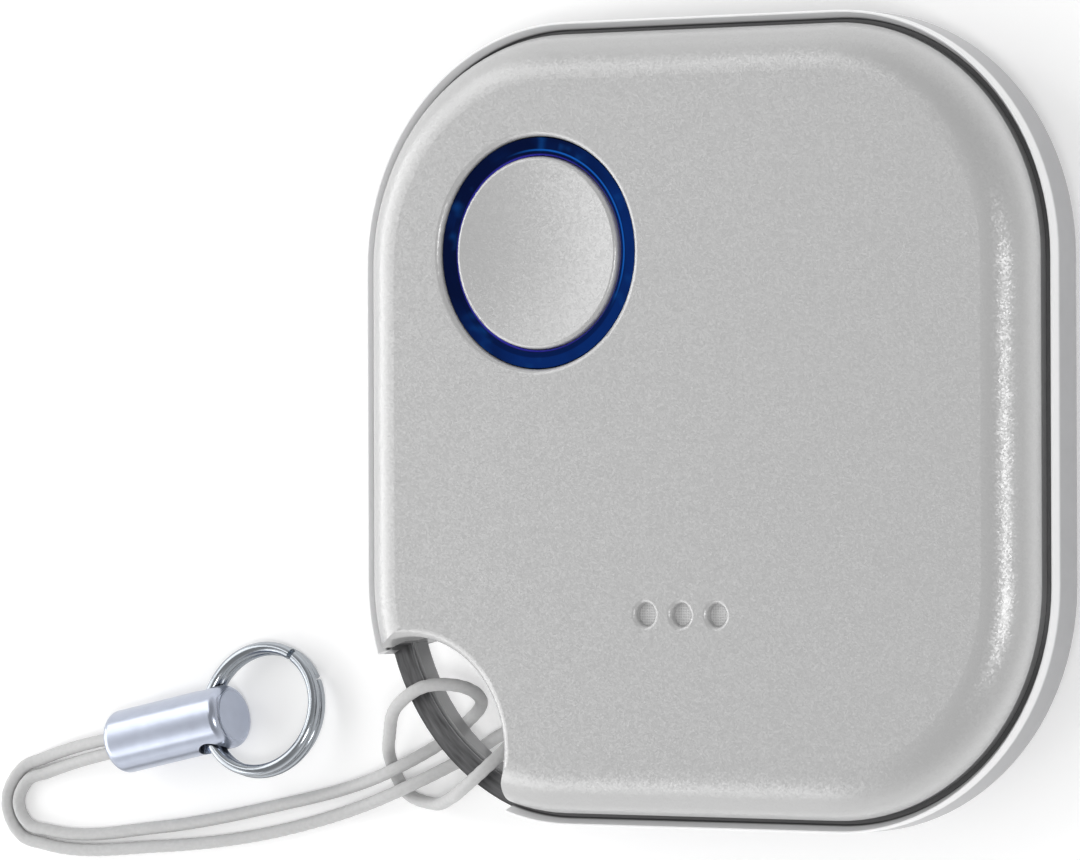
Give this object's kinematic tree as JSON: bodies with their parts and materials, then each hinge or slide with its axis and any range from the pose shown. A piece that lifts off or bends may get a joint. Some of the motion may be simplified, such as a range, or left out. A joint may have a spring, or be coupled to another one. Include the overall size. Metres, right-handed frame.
{
  "type": "smart push button with lanyard",
  "caption": "Flat pillow-shaped wireless push button with a lit ring round the button, sound holes, and a looped cord with a metal end and split ring in a corner eye.",
  "frame": {"origin": "centre of the flat back face, on the surface that the button lies on", "axes": "+Z out of the front face, +Y towards the top edge of the face, +X towards its right edge as the user sees it"},
  "size_m": [0.0603, 0.0384, 0.006],
  "materials": {
    "case_face": "satin metallic grey paint with a fine grain",
    "case_side": "satin metallic grey paint",
    "button": "satin metallic grey paint with a fine grain",
    "light_ring": "smooth, dark blue and see-through",
    "dark_plastic": "moulded, dull",
    "board": "green solder mask",
    "led": "clear lens over phosphor",
    "nickel": "nickel plated",
    "white_ceramic": "fired, matt",
    "tan_ceramic": "fired, matt",
    "seal": "soft and black",
    "cell_core": "pressed cell filling, sealed in",
    "spring_brass": "rolled strip",
    "mesh": "fine woven acoustic mesh",
    "cord": "thin braided cord, light grey",
    "cord_end": "turned, satin, faintly blue",
    "ring_steel": "bright nickel plated spring wire"
  },
  "bodies": {
    "rear_case": {"rear_cover": "case_side", "lanyard_cord": "cord", "cord_ferrule": "cord_end"},
    "front_case": {"front_cover": "case_face", "light_ring": "light_ring", "switch_base": "dark_plastic", "switch_plate": "nickel", "switch_dome": "nickel", "circuit_board": "board", "ring_leds": "led", "radio_chip": "dark_plastic", "crystals": "nickel", "chip_antenna": "white_ceramic", "chip_capacitors": "tan_ceramic", "chip_resistors": "dark_plastic", "battery_can": "nickel", "battery_cap": "nickel", "battery_gasket": "seal", "battery_core": "cell_core", "battery_frame": "dark_plastic", "positive_contact": "spring_brass", "negative_contact": "spring_brass", "piezo_plate": "spring_brass", "piezo_ceramic": "white_ceramic", "piezo_gasket": "seal", "piezo_contacts": "spring_brass", "sound_mesh": "mesh"},
    "button": {"button_cap": "button", "switch_stem": "dark_plastic"},
    "key_ring": {"split_ring": "ring_steel"}
  },
  "joints": [
    {"name": "case_open", "type": "slide", "parent": "rear_case", "child": "front_case", "axis": [0, 0, 1], "range_m": [0, 0.01]},
    {"name": "button_press", "type": "slide", "parent": "front_case", "child": "button", "axis": [0, 0, -1], "range_m": [0, 0.00025], "stiffness_N_per_m": 1500, "deforming": ["switch_dome"]},
    {"name": "ring_swing", "type": "hinge", "parent": "rear_case", "child": "key_ring", "pos_m": [-0.02887, -0.01373, 0.0015], "axis": [0.2034, -0.9568, 0.2079], "range_deg": [0, 120]}
  ]
}
